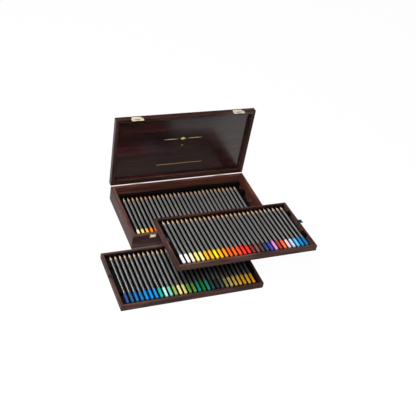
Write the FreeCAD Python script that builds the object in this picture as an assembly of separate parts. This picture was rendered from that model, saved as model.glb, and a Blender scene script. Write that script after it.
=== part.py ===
import FreeCAD, Part
import math
import os

# A wooden pencil box: a case with a hinged lid, a fixed row of pencils in its floor, and two
# lift-out trays that stack above that row when the box is packed.
# The trays stand taken out in front of the case, and the lid stands open.
# All sizes are in millimetres. The origin is the centre of the case's underside,
# +Z is up, the hinges are at the back (+Y) and the catches at the front (-Y).

# --- Pencils ---------------------------------------------------------------------------------
PENCIL_COUNT = 28           # in each of the three rows
PENCIL_PITCH = 13.1
PENCIL_LENGTH = 175.0
PENCIL_ACROSS = 7.1         # across the flats of the hexagon
PENCIL_CONE = 22.0          # length of the sharpened end
CONE_SIDES = 12             # the cone is drawn in this many flats, to keep the rows light

# --- Comb inserts ----------------------------------------------------------------------------
ROW_MARGIN = 15.65          # from the last pencil's axis to the inner wall of a tray
STOP_GAP = 1.0              # from the ends of the pencils to the stop rails
STOP_RAIL = 4.2             # thickness of the stop rails in a tray
STOP_RISE = 1.0             # height of the stop rails over the pencils' axes
INSERT_FLOOR = 2.0
FINGER_DEPTH = 4.45         # open space under the pencils, between the combs
HEAD_ROOM = 1.45            # from the top of the pencils to the rim of their tray
BLOCK_DROP = 0.4            # from the rim of a tray down to its insert's end blocks
BLOCK_MARGIN = 9.0          # from the last pencil's axis to the face of an end block
BASE_REST = 17.0            # height of the case insert's ends and rails, which carry the trays
COMB_CREST = 1.5            # the combs' teeth rise this far above the axes
GROOVE_PLAY = 0.15          # play on each side of a pencil in its groove
FRONT_COMB_WIDTH = 22.0
FRONT_COMB_PLACE = 35.5     # from the blunt ends of the pencils
BACK_COMB_WIDTH = 18.0
BACK_COMB_PLACE = 2.5       # from where the pencils' sharpened ends begin

# --- Ribbon tabs -----------------------------------------------------------------------------
RIBBON_WIDTH = 14.0
RIBBON_THICKNESS = 0.8      # also the gap round the inserts, which grips the tabs' ends
RIBBON_FOLD = 7.0           # a tucked-in tab folds this far in from the wall
RIBBON_SAG = 2.5            # and hangs down this far
RIBBON_DROOP = 1.5          # a tab over the rim hangs this far below it
UPPER_TAB_REACH = 9.0       # beyond the tray's outer face
LOWER_TAB_REACH = 3.0

# --- Trays -----------------------------------------------------------------------------------
TRAY_COUNT = 2
TRAY_CLEARANCE = 1.5        # play between a tray and each inner wall of the case
TRAY_WALL = 6.0
TRAY_BOTTOM = 2.5
TRAY_REBATE = 3.0
TRAY_BEVEL = 0.5
UPPER_TRAY_TILT = 3.0       # lifted out, with its front edge held this many degrees higher
UPPER_TRAY_RAISE = 48.5     # from the case's rim up to the middle of its underside
UPPER_TRAY_GAP = 6.0        # in front of the case
UPPER_TRAY_SHIFT = 39.0     # to the right of the case's middle
LOWER_TRAY_GAP = 18.0       # laid down in front of the case
LOWER_TRAY_SHIFT = -104.0

# --- Case ------------------------------------------------------------------------------------
CASE_WALL = 10.0            # thickness of the solid wooden walls of case and lid
CASE_BOTTOM = 5.0           # thickness of the bottom panel
CASE_REBATE = 5.0           # width of the step in each wall that takes a panel
CASE_BEVEL = 0.6            # small bevel along every long edge of the walls
TRAY_SHOW = 11.0            # the stacked trays stand this far out of the case

# --- Lid -------------------------------------------------------------------------------------
LID_PANEL = 4.0             # thickness of the lid's top panel
LID_GAP = 0.3               # gap between the closed lid and the case
LID_ROOM = 2.3              # over the stacked trays, for the ribbon tabs
LID_OPEN_ANGLE = 90.0       # the lid stands upright on the stops of its hinges

# --- Hinges ----------------------------------------------------------------------------------
HINGE_INSET = 78.0          # from the case's end to the middle of each hinge
HINGE_LENGTH = 36.0
HINGE_OFFSET = 1.0          # axis behind the back faces of case and lid
HINGE_LEAF = 0.8            # the leaves are let in flush with the wood
HINGE_KNUCKLES = 3
KNUCKLE_RADIUS = 1.5
KNUCKLE_GAP = 0.3
KNUCKLE_RELIEF = 0.7        # clearance cut in a leaf round the other leaf's knuckles
HINGE_PIN_RADIUS = 0.65
HINGE_PIN_PLAY = 0.05
HINGE_PIN_HEAD = 1.1
CASE_LEAF_REACH = 17.0      # from the axis down to the end of the case leaf
LID_LEAF_REACH = 14.5
HEEL_REACH = 7.0            # the lid leaf's heel stops the lid when it meets the case leaf
HEEL_GAP = 0.3
MORTISE_PLAY = 0.15         # round the leaves in the wood
BARREL_PLAY = 0.6           # round the knuckles in the wood

# --- Catches ---------------------------------------------------------------------------------
CATCH_INSET = 58.0          # from the case's end to the middle of each catch
CATCH_PLATE_WIDTH = 25.0
CATCH_PLATE = 0.8           # thickness of the base plate on the lid
CATCH_PLATE_FOOT = 1.0      # from the lid's rim to the lower edge of the base plate
CATCH_PLATE_RISE = 10.2     # height of the base plate
CATCH_AXIS_OUT = 2.6        # the pin's distance from the lid's front face
CATCH_AXIS_RISE = 6.2       # the pin's height over the lid's rim
CATCH_KNUCKLE_RADIUS = 1.3
CATCH_KNUCKLE = 6.4         # half the length of the lever's knuckle
CATCH_KNUCKLE_GAP = 0.4
CATCH_PIN_RADIUS = 0.6
CATCH_PIN_PLAY = 0.05
CATCH_PIN_HEAD = 1.0
LEVER_THICKNESS = 1.0
LEVER_TOP = 12.6            # half width at its top edge
LEVER_WING = 17.5           # half width across the wings
LEVER_DROP = 20.7           # from the pin to the tips of the feet
LEVER_SHOULDER = 2.1        # from the pin to the top edge
LEVER_FLARE = 8.2           # from the pin to the widest place
LEVER_FOOT = 8.6            # half width of the arch between the feet
LEVER_ARCH = 1.6            # how far the arch rises above the feet
LEVER_REST_ANGLE = 7.0      # the lever's tight pin holds it this far off the lid's face
KEEPER_WIDTH = 17.5
KEEPER_HEIGHT = 12.0
KEEPER_PLATE = 0.8
KEEPER_DROP = 0.6           # from the case's rim to the top of the keeper
KEEPER_NOTCH = 2.4          # radius of the thumb notch in its top edge
NOSE_WIDTH = 12.6
NOSE_OUT = 3.4              # from the case's front face to the tip of the nose
NOSE_TOP = 4.9              # from the case's rim to the top of the nose
NOSE_BOTTOM = 7.9
WINDOW_PLAY = 1.2           # round the nose in the lever's window, at the sides and the top
WINDOW_SILL_PLAY = 0.5      # under the nose

# --- Screws and nails ------------------------------------------------------------------------
SCREW_HEAD = 2.0
SCREW_SHANK = 1.0
SCREW_LENGTH = 8.0
HINGE_SCREW_SPACING = 12.0
CASE_SCREW_DROP = 10.5      # from the hinge axis to the screws
LID_SCREW_RISE = 9.0
NAIL_HEAD = 1.4
NAIL_SHANK = 0.7
NAIL_LENGTH = 7.0
KEEPER_NAIL_X = 6.0
KEEPER_NAIL_RISE = 2.4      # from the keeper's lower edge
PLATE_NAIL_X = 9.5
PLATE_NAIL_RISE = 8.4       # from the base plate's lower edge
FASTENER_SIDES = 12         # screws and nails are drawn in this many flats

# --- What follows from them -------------------------------------------------------------------
# A row of pencils sets the inside of a tray, the trays set the inside of the case, and the
# stack of trays sets how high case and lid are.
PENCIL_RADIUS = PENCIL_ACROSS / math.sqrt(3)            # centre to corner of the hexagon
ROW_HALF = (PENCIL_COUNT - 1) / 2 * PENCIL_PITCH        # middle of the row to its last axis
INSERT_PLAY = RIBBON_THICKNESS
PENCIL_AXIS = INSERT_FLOOR + FINGER_DEPTH + PENCIL_ACROSS / 2   # over the panel below
TRAY_INNER_WIDTH = 2 * (ROW_HALF + ROW_MARGIN)
TRAY_INNER_DEPTH = PENCIL_LENGTH + 2 * (STOP_GAP + STOP_RAIL + INSERT_PLAY)
TRAY_WIDTH = TRAY_INNER_WIDTH + 2 * TRAY_WALL
TRAY_DEPTH = TRAY_INNER_DEPTH + 2 * TRAY_WALL
TRAY_HEIGHT = TRAY_BOTTOM + PENCIL_AXIS + PENCIL_ACROSS / 2 + HEAD_ROOM
INSERT_BLOCK = TRAY_HEIGHT - TRAY_BOTTOM - BLOCK_DROP
CASE_INNER_WIDTH = TRAY_WIDTH + 2 * TRAY_CLEARANCE
CASE_INNER_DEPTH = TRAY_DEPTH + 2 * TRAY_CLEARANCE
CASE_WIDTH = CASE_INNER_WIDTH + 2 * CASE_WALL
CASE_DEPTH = CASE_INNER_DEPTH + 2 * CASE_WALL
CASE_HEIGHT = CASE_BOTTOM + BASE_REST + TRAY_COUNT * TRAY_HEIGHT - TRAY_SHOW
LID_HEIGHT = TRAY_SHOW - LID_GAP + LID_ROOM + LID_PANEL
LID_RIM = CASE_HEIGHT + LID_GAP
FRONT_FACE = -CASE_DEPTH / 2
HINGE_X = CASE_WIDTH / 2 - HINGE_INSET
HINGE_Y = CASE_DEPTH / 2 + HINGE_OFFSET
HINGE_Z = CASE_HEIGHT + LID_GAP / 2
CATCH_X = CASE_WIDTH / 2 - CATCH_INSET
FRONT_COMB = -PENCIL_LENGTH / 2 + FRONT_COMB_PLACE
BACK_COMB = PENCIL_LENGTH / 2 - PENCIL_CONE - BACK_COMB_PLACE - BACK_COMB_WIDTH
RIBBON_PLACE = (FRONT_COMB + FRONT_COMB_WIDTH + BACK_COMB) / 2   # half way between the combs

V = FreeCAD.Vector
X_AXIS = V(1, 0, 0)
Y_AXIS = V(0, 1, 0)
Z_AXIS = V(0, 0, 1)
SIDES = (("left", -1), ("right", 1))


# --- Small builders --------------------------------------------------------------------------
def block(x0, x1, y0, y1, z0, z1):
    """A box between two corners."""
    return Part.makeBox(x1 - x0, y1 - y0, z1 - z0, V(x0, y0, z0))


def prism(points, along):
    """A flat outline pushed along a vector."""
    return Part.Face(Part.makePolygon(points + points[:1])).extrude(along)


def rod(radius, start, end):
    """A round bar between two points."""
    along = end - start
    return Part.makeCylinder(radius, along.Length, start, along)


def moved(shape, offset):
    """A copy shifted by a vector."""
    copy = shape.copy()
    copy.translate(offset)
    return copy


def turned(shape, centre, axis, degrees):
    """A copy turned about a line."""
    copy = shape.copy()
    copy.rotate(centre, axis, degrees)
    return copy


def fused(shapes):
    """One solid out of touching ones, with no seams left on its flat faces."""
    whole = shapes[0]
    if len(shapes) > 1:
        whole = whole.fuse(shapes[1:])
    return whole.removeSplitter()


def ring(radius, sides, y):
    """A regular polygon round the Y axis."""
    step = 2 * math.pi / sides
    corners = [V(radius * math.cos(i * step), y, radius * math.sin(i * step)) for i in range(sides)]
    return Part.makePolygon(corners + corners[:1])


def countersunk(head, shank, depth, length, place):
    """A flat-headed screw or nail driven along +Y, its head level with the face it starts at."""
    cone = Part.makeLoft([ring(head, FASTENER_SIDES, 0), ring(shank, FASTENER_SIDES, depth)],
                         True, True)
    point = Part.Face(ring(shank, FASTENER_SIDES, depth)).extrude(V(0, length - depth, 0))
    return moved(fused([cone, point]), place)


def opened(shape):
    """A piece of the closed lid, swung up with it."""
    return turned(shape, V(0, HINGE_Y, HINGE_Z), X_AXIS, -LID_OPEN_ANGLE)


# --- Mitred wooden frames --------------------------------------------------------------------
def wall_section(wall, height, rebate, panel, bevel):
    """Outline of one wall: (distance in from the outer face, height), panel step at the foot."""
    return [
        (bevel, 0), (wall - rebate, 0), (wall - rebate, panel), (wall, panel),
        (wall, height - bevel), (wall - bevel, height), (bevel, height),
        (0, height - bevel), (0, bevel),
    ]


def mitred_wall(section, length, wall, height):
    """A wall along X with its outer face on y = 0 and both ends cut at 45 degrees."""
    outline = [V(-length / 2, y, z) for y, z in section]
    plan = [
        V(-length / 2, 0, 0), V(length / 2, 0, 0),
        V(length / 2 - wall, wall, 0), V(-length / 2 + wall, wall, 0),
    ]
    return prism(outline, V(length, 0, 0)).common(prism(plan, V(0, 0, height)))


def mitred_frame(width, depth, wall, height, rebate, panel, bevel):
    """Four walls that meet in mitres, standing on z = 0 round the origin."""
    section = wall_section(wall, height, rebate, panel, bevel)
    places = {"front": (width, depth, 0), "right": (depth, width, 90),
              "back": (width, depth, 180), "left": (depth, width, 270)}
    walls = {}
    for side, (length, across, angle) in places.items():
        piece = moved(mitred_wall(section, length, wall, height), V(0, -across / 2, 0))
        walls[side] = turned(piece, V(0, 0, 0), Z_AXIS, angle)
    return walls


def frame_panel(width, depth, wall, rebate, panel):
    """The panel that lies in the frame's rebate."""
    half_x = width / 2 - wall + rebate
    half_y = depth / 2 - wall + rebate
    return block(-half_x, half_x, -half_y, half_y, 0, panel)


# --- Pencils and the comb insert that carries them -------------------------------------------
def pencil_places():
    """The X of every pencil in a row."""
    return [i * PENCIL_PITCH - ROW_HALF for i in range(PENCIL_COUNT)]


def pencil():
    """A hexagonal pencil along Y with a flat on top, sharpened at the far end."""
    blunt = -PENCIL_LENGTH / 2
    tip = PENCIL_LENGTH / 2
    barrel = Part.Face(ring(PENCIL_RADIUS, 6, blunt)).extrude(V(0, PENCIL_LENGTH, 0))
    base = ring(PENCIL_RADIUS, CONE_SIDES, tip - PENCIL_CONE)
    cone = Part.makeLoft([base, Part.Vertex(0, tip, 0)], True, True)
    shaft = Part.Face(ring(PENCIL_RADIUS, 6, blunt)).extrude(V(0, PENCIL_LENGTH - PENCIL_CONE, 0))
    return fused([shaft, barrel.common(cone)])


def pencil_row(panel_top):
    """All the pencils of one level, side by side in their grooves."""
    one = pencil()
    height = panel_top + PENCIL_AXIS
    return Part.makeCompound([moved(one, V(x, 0, height)) for x in pencil_places()])


def groove(x, y0, y1, axis_z, crest_z):
    """The space a comb leaves for one pencil: its lower half, open above."""
    half = PENCIL_RADIUS + GROOVE_PLAY
    bed = axis_z - PENCIL_ACROSS / 2
    outline = [
        V(x - half, y0, crest_z), V(x - half, y0, axis_z), V(x - half / 2, y0, bed),
        V(x + half / 2, y0, bed), V(x + half, y0, axis_z), V(x + half, y0, crest_z),
    ]
    return prism(outline, V(0, y1 - y0, 0))


def comb(half_width, y0, y1, panel_top, block_rise):
    """A toothed ridge across the insert, with a tall block at each end."""
    axis_z = panel_top + PENCIL_AXIS
    crest_z = axis_z + COMB_CREST
    block_z = panel_top + block_rise
    edge = ROW_HALF + BLOCK_MARGIN
    outline = [
        V(-half_width, y0, panel_top), V(half_width, y0, panel_top), V(half_width, y0, block_z),
        V(edge + COMB_CREST, y0, block_z), V(edge, y0, crest_z),
        V(-edge, y0, crest_z), V(-edge - COMB_CREST, y0, block_z), V(-half_width, y0, block_z),
    ]
    ridge = prism(outline, V(0, y1 - y0, 0))
    grooves = [groove(x, y0, y1, axis_z, crest_z) for x in pencil_places()]
    return ridge.cut(Part.makeCompound(grooves))


def comb_insert(inner_width, inner_depth, panel_top, block_rise, rail_rise):
    """Floor, two combs and the stop rails in front of and behind the pencils."""
    half_x = inner_width / 2 - INSERT_PLAY
    half_y = inner_depth / 2 - INSERT_PLAY
    stop_y = PENCIL_LENGTH / 2 + STOP_GAP
    stop_z = panel_top + rail_rise
    pieces = [
        block(-half_x, half_x, -half_y, half_y, panel_top, panel_top + INSERT_FLOOR),
        block(-half_x, half_x, -half_y, -stop_y, panel_top, stop_z),
        block(-half_x, half_x, stop_y, half_y, panel_top, stop_z),
        comb(half_x, FRONT_COMB, FRONT_COMB + FRONT_COMB_WIDTH, panel_top, block_rise),
        comb(half_x, BACK_COMB, BACK_COMB + BACK_COMB_WIDTH, panel_top, block_rise),
    ]
    return fused(pieces)


# --- Ribbon tabs -----------------------------------------------------------------------------
def ribbon(path):
    """A flat strip of ribbon that follows a path in the XZ plane, one thickness to its left."""
    offset = []
    for i, point in enumerate(path):
        before = (point - path[i - 1]).normalize() if i > 0 else None
        after = (path[i + 1] - point).normalize() if i + 1 < len(path) else None
        first = before or after
        last = after or before
        bisector = (V(-first.z, 0, first.x) + V(-last.z, 0, last.x)).normalize()
        reach = RIBBON_THICKNESS / (bisector.x * -first.z + bisector.z * first.x)
        offset.append(point + bisector * reach)
    strip = prism(path + offset[::-1], V(0, RIBBON_WIDTH, 0))
    return moved(strip, V(0, RIBBON_PLACE - RIBBON_WIDTH / 2, 0))


def tab_over_rim(inner_half, wall, panel_top, rim_z, reach):
    """A tab at the right-hand side that comes up the inner wall and lies over the rim."""
    return ribbon([
        V(inner_half, 0, panel_top), V(inner_half, 0, rim_z - TRAY_BEVEL),
        V(inner_half + TRAY_BEVEL, 0, rim_z), V(inner_half + wall - TRAY_BEVEL, 0, rim_z),
        V(inner_half + wall + reach, 0, rim_z - RIBBON_DROOP),
    ])


def tab_tucked_in(inner_half, panel_top, block_rise):
    """A tab at the right-hand side that stands up the inner wall and folds in over itself."""
    top = panel_top + block_rise
    return ribbon([
        V(inner_half, 0, panel_top), V(inner_half, 0, top - RIBBON_SAG),
        V(inner_half - RIBBON_FOLD / 6, 0, top - RIBBON_SAG / 5),
        V(inner_half - RIBBON_FOLD / 2, 0, top), V(inner_half - RIBBON_FOLD, 0, top - RIBBON_SAG),
    ])


def left_hand(shape):
    """The same piece for the left-hand side."""
    return shape.mirror(V(0, 0, 0), X_AXIS)


# --- Hinges ----------------------------------------------------------------------------------
def knuckle_spans(own_first):
    """X spans of the knuckles that belong to one leaf."""
    length = (HINGE_LENGTH - (HINGE_KNUCKLES - 1) * KNUCKLE_GAP) / HINGE_KNUCKLES
    spans = []
    for i in range(own_first, HINGE_KNUCKLES, 2):
        start = -HINGE_LENGTH / 2 + i * (length + KNUCKLE_GAP)
        spans.append((start, start + length))
    return spans


def screw_places(rise):
    """Three screw places on a leaf, in the hinge's own frame."""
    return [V(i * HINGE_SCREW_SPACING, -HINGE_OFFSET, rise) for i in (-1, 0, 1)]


def hinge_screws(rise):
    """The countersunk screws of one leaf."""
    screw = countersunk(SCREW_HEAD, SCREW_SHANK, HINGE_LEAF, SCREW_LENGTH, V(0, 0, 0))
    inward = turned(screw, V(0, 0, 0), Z_AXIS, 180)
    return [moved(inward, place) for place in screw_places(rise)]


def hinge_leaf(own_first, direction, reach, screw_rise, heels):
    """One leaf of a hinge whose axis is the X axis; direction is +1 for the lid's leaf."""
    face = -HINGE_OFFSET
    back = face - HINGE_LEAF
    near = direction * (KNUCKLE_RADIUS + KNUCKLE_RELIEF)
    far = direction * reach
    low, high = min(near, far), max(near, far)
    pieces = [block(-HINGE_LENGTH / 2, HINGE_LENGTH / 2, back, face, low, high)]
    for x0, x1 in knuckle_spans(own_first):
        pieces.append(rod(KNUCKLE_RADIUS, V(x0, 0, 0), V(x1, 0, 0)))
        pieces.append(block(x0, x1, back, face, min(0, near), max(0, near)))
        if heels:
            thickness = HINGE_OFFSET - HEEL_GAP
            pieces.append(block(x0, x1, 0, HEEL_REACH, -thickness, 0))
    leaf = fused(pieces)
    bore = rod(HINGE_PIN_RADIUS + HINGE_PIN_PLAY, V(-HINGE_LENGTH, 0, 0), V(HINGE_LENGTH, 0, 0))
    return leaf.cut([bore] + hinge_screws(screw_rise))


def mortise(direction, reach):
    """What is cut from a wall to let in one leaf flush, with a hollow round the knuckles."""
    half = HINGE_LENGTH / 2 + MORTISE_PLAY
    far = direction * (reach + MORTISE_PLAY)
    back = -HINGE_OFFSET - HINGE_LEAF
    pocket = block(-half, half, back, 0, min(0, far), max(0, far))
    half += HINGE_LEAF
    return fused([pocket, rod(KNUCKLE_RADIUS + BARREL_PLAY, V(-half, 0, 0), V(half, 0, 0))])


def headed_pin(radius, head, half, thickness):
    """A pin along X, with a flattened head at each end."""
    return fused([
        rod(radius, V(-half, 0, 0), V(half, 0, 0)),
        rod(head, V(-half - thickness, 0, 0), V(-half, 0, 0)),
        rod(head, V(half, 0, 0), V(half + thickness, 0, 0)),
    ])


def hinge_pin():
    """The pin through a hinge's knuckles."""
    return headed_pin(HINGE_PIN_RADIUS, HINGE_PIN_HEAD, HINGE_LENGTH / 2, HINGE_LEAF / 2)


# --- Catches ---------------------------------------------------------------------------------
# These are drawn with the lid closed, in a frame whose origin is on the lid's rim line at the
# middle of the catch: X along the box, -Y outward, Z up.
def catch_nails(places, inset):
    """Flat-headed nails through a plate of the given thickness."""
    return [countersunk(NAIL_HEAD, NAIL_SHANK, inset, NAIL_LENGTH, place) for place in places]


def plate_nails():
    """The two nails of the base plate."""
    rise = CATCH_PLATE_FOOT + PLATE_NAIL_RISE
    places = [V(side * PLATE_NAIL_X, -CATCH_PLATE, rise) for side in (-1, 1)]
    return catch_nails(places, CATCH_PLATE)


def keeper_nails():
    """The two nails of the keeper, below the rim."""
    rise = -LID_GAP - KEEPER_DROP - KEEPER_HEIGHT + KEEPER_NAIL_RISE
    places = [V(side * KEEPER_NAIL_X, -KEEPER_PLATE, rise) for side in (-1, 1)]
    return catch_nails(places, KEEPER_PLATE)


def catch_plate():
    """The base plate on the lid, with two knuckles for the pin."""
    half = CATCH_PLATE_WIDTH / 2
    top = CATCH_PLATE_FOOT + CATCH_PLATE_RISE
    pieces = [block(-half, half, -CATCH_PLATE, 0, CATCH_PLATE_FOOT, top)]
    inner = CATCH_KNUCKLE + CATCH_KNUCKLE_GAP
    for x0, x1 in ((-half, -inner), (inner, half)):
        pieces.append(rod(CATCH_KNUCKLE_RADIUS, V(x0, -CATCH_AXIS_OUT, CATCH_AXIS_RISE),
                          V(x1, -CATCH_AXIS_OUT, CATCH_AXIS_RISE)))
        pieces.append(block(x0, x1, -CATCH_AXIS_OUT, 0, CATCH_AXIS_RISE - CATCH_PLATE,
                            CATCH_AXIS_RISE + CATCH_PLATE))
    plate = fused(pieces)
    bore = rod(CATCH_PIN_RADIUS + CATCH_PIN_PLAY, V(-half * 2, -CATCH_AXIS_OUT, CATCH_AXIS_RISE),
               V(half * 2, -CATCH_AXIS_OUT, CATCH_AXIS_RISE))
    return plate.cut([bore] + plate_nails())


def catch_pin():
    """The lever's pin, headed at both ends."""
    half = CATCH_PLATE_WIDTH / 2
    return moved(headed_pin(CATCH_PIN_RADIUS, CATCH_PIN_HEAD, half, CATCH_PLATE / 2),
                 V(0, -CATCH_AXIS_OUT, CATCH_AXIS_RISE))


def lever_outline(y):
    """The winged plate with two rounded feet."""
    top = CATCH_AXIS_RISE - LEVER_SHOULDER
    flare = CATCH_AXIS_RISE - LEVER_FLARE
    foot = CATCH_AXIS_RISE - LEVER_DROP
    radius = (LEVER_WING - LEVER_FOOT) / 2
    middle = LEVER_WING - radius
    arch = foot + LEVER_ARCH
    edges = [
        Part.LineSegment(V(-LEVER_TOP, y, top), V(LEVER_TOP, y, top)),
        Part.LineSegment(V(LEVER_TOP, y, top), V(LEVER_WING, y, flare)),
        Part.LineSegment(V(LEVER_WING, y, flare), V(LEVER_WING, y, foot + radius)),
        Part.Arc(V(LEVER_WING, y, foot + radius),
                 V(middle + radius * math.sqrt(0.5), y, foot + radius * (1 - math.sqrt(0.5))),
                 V(middle, y, foot)),
        Part.LineSegment(V(middle, y, foot), V(LEVER_FOOT, y, foot)),
        Part.Arc(V(LEVER_FOOT, y, foot), V(0, y, arch), V(-LEVER_FOOT, y, foot)),
        Part.LineSegment(V(-LEVER_FOOT, y, foot), V(-middle, y, foot)),
        Part.Arc(V(-middle, y, foot),
                 V(-middle - radius * math.sqrt(0.5), y, foot + radius * (1 - math.sqrt(0.5))),
                 V(-LEVER_WING, y, foot + radius)),
        Part.LineSegment(V(-LEVER_WING, y, foot + radius), V(-LEVER_WING, y, flare)),
        Part.LineSegment(V(-LEVER_WING, y, flare), V(-LEVER_TOP, y, top)),
    ]
    return Part.Face(Part.Wire([edge.toShape() for edge in edges]))


def catch_lever():
    """The lever that drops over the keeper's nose, hanging straight down from its pin."""
    inner = -CATCH_AXIS_OUT + LEVER_THICKNESS / 2
    outer = -CATCH_AXIS_OUT - LEVER_THICKNESS / 2
    top = CATCH_AXIS_RISE - LEVER_SHOULDER
    pieces = [
        lever_outline(inner).extrude(V(0, outer - inner, 0)),
        block(-CATCH_KNUCKLE, CATCH_KNUCKLE, outer, inner, top, CATCH_AXIS_RISE),
        rod(CATCH_KNUCKLE_RADIUS, V(-CATCH_KNUCKLE, -CATCH_AXIS_OUT, CATCH_AXIS_RISE),
            V(CATCH_KNUCKLE, -CATCH_AXIS_OUT, CATCH_AXIS_RISE)),
    ]
    lever = fused(pieces)
    half = NOSE_WIDTH / 2 + WINDOW_PLAY
    window = block(-half, half, 2 * outer, 0, -LID_GAP - NOSE_BOTTOM - WINDOW_SILL_PLAY,
                   -LID_GAP - NOSE_TOP + WINDOW_PLAY)
    bore = rod(CATCH_PIN_RADIUS + CATCH_PIN_PLAY,
               V(-CATCH_PLATE_WIDTH, -CATCH_AXIS_OUT, CATCH_AXIS_RISE),
               V(CATCH_PLATE_WIDTH, -CATCH_AXIS_OUT, CATCH_AXIS_RISE))
    return lever.cut([window, bore])


def keeper():
    """The keeper on the case's front: a plate with a sloped nose."""
    half = KEEPER_WIDTH / 2
    top = -LID_GAP - KEEPER_DROP
    plate = block(-half, half, -KEEPER_PLATE, 0, top - KEEPER_HEIGHT, top)
    plate = plate.cut(rod(KEEPER_NOTCH, V(0, -KEEPER_PLATE, top), V(0, KEEPER_PLATE, top)))
    lip = -LID_GAP - NOSE_BOTTOM
    slope = -LID_GAP - NOSE_TOP
    tip = (slope + lip) / 2
    outline = [
        V(-NOSE_WIDTH / 2, 0, lip), V(-NOSE_WIDTH / 2, -NOSE_OUT, lip),
        V(-NOSE_WIDTH / 2, -NOSE_OUT, tip), V(-NOSE_WIDTH / 2, -KEEPER_PLATE, slope),
        V(-NOSE_WIDTH / 2, 0, slope),
    ]
    nose = prism(outline, V(NOSE_WIDTH, 0, 0))
    return fused([plate, nose]).cut(keeper_nails())


# --- Assembly --------------------------------------------------------------------------------
def hinge_place(sign):
    """The middle of a hinge's axis."""
    return V(sign * HINGE_X, HINGE_Y, HINGE_Z)


def catch_place(sign):
    """The rim line at the middle of a catch, with the lid closed."""
    return V(sign * CATCH_X, FRONT_FACE, LID_RIM)


def at_both(shapes, place):
    """The same small pieces at the left and the right hinge or catch."""
    return [moved(shape, place(sign)) for _, sign in SIDES for shape in shapes]


def shank_holes(screws, wall):
    """A wall with a hole for each screw, as tight as its shank."""
    return wall.cut(screws)


def build_case(nodes):
    """The walls, bottom, insert, pencils, tabs, keepers and the fixed half of the hinges."""
    walls = mitred_frame(CASE_WIDTH, CASE_DEPTH, CASE_WALL, CASE_HEIGHT,
                         CASE_REBATE, CASE_BOTTOM, CASE_BEVEL)
    screws = at_both(hinge_screws(-CASE_SCREW_DROP), hinge_place)
    nails = at_both(keeper_nails(), catch_place)
    mortises = at_both([mortise(-1, CASE_LEAF_REACH)], hinge_place)
    walls["back"] = shank_holes(screws, walls["back"]).cut(mortises)
    walls["front"] = shank_holes(nails, walls["front"])
    for side, wall in walls.items():
        nodes["case_" + side] = wall
    nodes["case_bottom"] = frame_panel(CASE_WIDTH, CASE_DEPTH, CASE_WALL, CASE_REBATE, CASE_BOTTOM)
    nodes["case_insert"] = comb_insert(CASE_INNER_WIDTH, CASE_INNER_DEPTH, CASE_BOTTOM,
                                       BASE_REST, BASE_REST)
    nodes["base_pencils"] = pencil_row(CASE_BOTTOM)
    tab = tab_tucked_in(CASE_INNER_WIDTH / 2, CASE_BOTTOM, BASE_REST)
    nodes["base_ribbon_right"] = tab
    nodes["base_ribbon_left"] = left_hand(tab)
    leaf = hinge_leaf(0, -1, CASE_LEAF_REACH, -CASE_SCREW_DROP, False)
    for side, sign in SIDES:
        nodes["hinge_" + side + "_case_leaf"] = moved(leaf, hinge_place(sign))
        nodes["keeper_" + side] = moved(keeper(), catch_place(sign))
    nodes["hinge_pins"] = Part.makeCompound(at_both([hinge_pin()], hinge_place))
    nodes["case_hinge_screws"] = Part.makeCompound(screws)
    nodes["keeper_nails"] = Part.makeCompound(nails)


def build_lid(nodes):
    """The lid's walls, panel, catches and the moving half of the hinges, all swung open."""
    walls = mitred_frame(CASE_WIDTH, CASE_DEPTH, CASE_WALL, LID_HEIGHT,
                         CASE_REBATE, LID_PANEL, CASE_BEVEL)
    panel = frame_panel(CASE_WIDTH, CASE_DEPTH, CASE_WALL, CASE_REBATE, LID_PANEL)
    pieces = {"lid_panel": panel}
    for side, wall in walls.items():
        pieces["lid_" + side] = wall
    # The frame is drawn panel down, so it is turned over end to end to lie on the case.
    for name, shape in pieces.items():
        flipped = turned(shape, V(0, 0, 0), Y_AXIS, 180)
        pieces[name] = moved(flipped, V(0, 0, LID_RIM + LID_HEIGHT))
    pieces["lid_left"], pieces["lid_right"] = pieces["lid_right"], pieces["lid_left"]
    screws = at_both(hinge_screws(LID_SCREW_RISE), hinge_place)
    nails = at_both(plate_nails(), catch_place)
    mortises = at_both([mortise(1, LID_LEAF_REACH)], hinge_place)
    pieces["lid_back"] = shank_holes(screws, pieces["lid_back"]).cut(mortises)
    pieces["lid_front"] = shank_holes(nails, pieces["lid_front"])
    leaf = hinge_leaf(1, 1, LID_LEAF_REACH, LID_SCREW_RISE, True)
    for side, sign in SIDES:
        pieces["hinge_" + side + "_lid_leaf"] = moved(leaf, hinge_place(sign))
        pieces["catch_" + side + "_plate"] = moved(catch_plate(), catch_place(sign))
    pieces["catch_pins"] = Part.makeCompound(at_both([catch_pin()], catch_place))
    pieces["lid_hinge_screws"] = Part.makeCompound(screws)
    pieces["catch_plate_nails"] = Part.makeCompound(nails)
    for name, shape in pieces.items():
        nodes[name] = opened(shape)


def build_levers(nodes):
    """The two catch levers, held a little off the face of the open lid."""
    for side, sign in SIDES:
        pin = V(0, -CATCH_AXIS_OUT, CATCH_AXIS_RISE)
        lever = turned(catch_lever(), pin, X_AXIS, -LEVER_REST_ANGLE)
        nodes["catch_" + side + "_lever"] = opened(moved(lever, catch_place(sign)))


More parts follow.
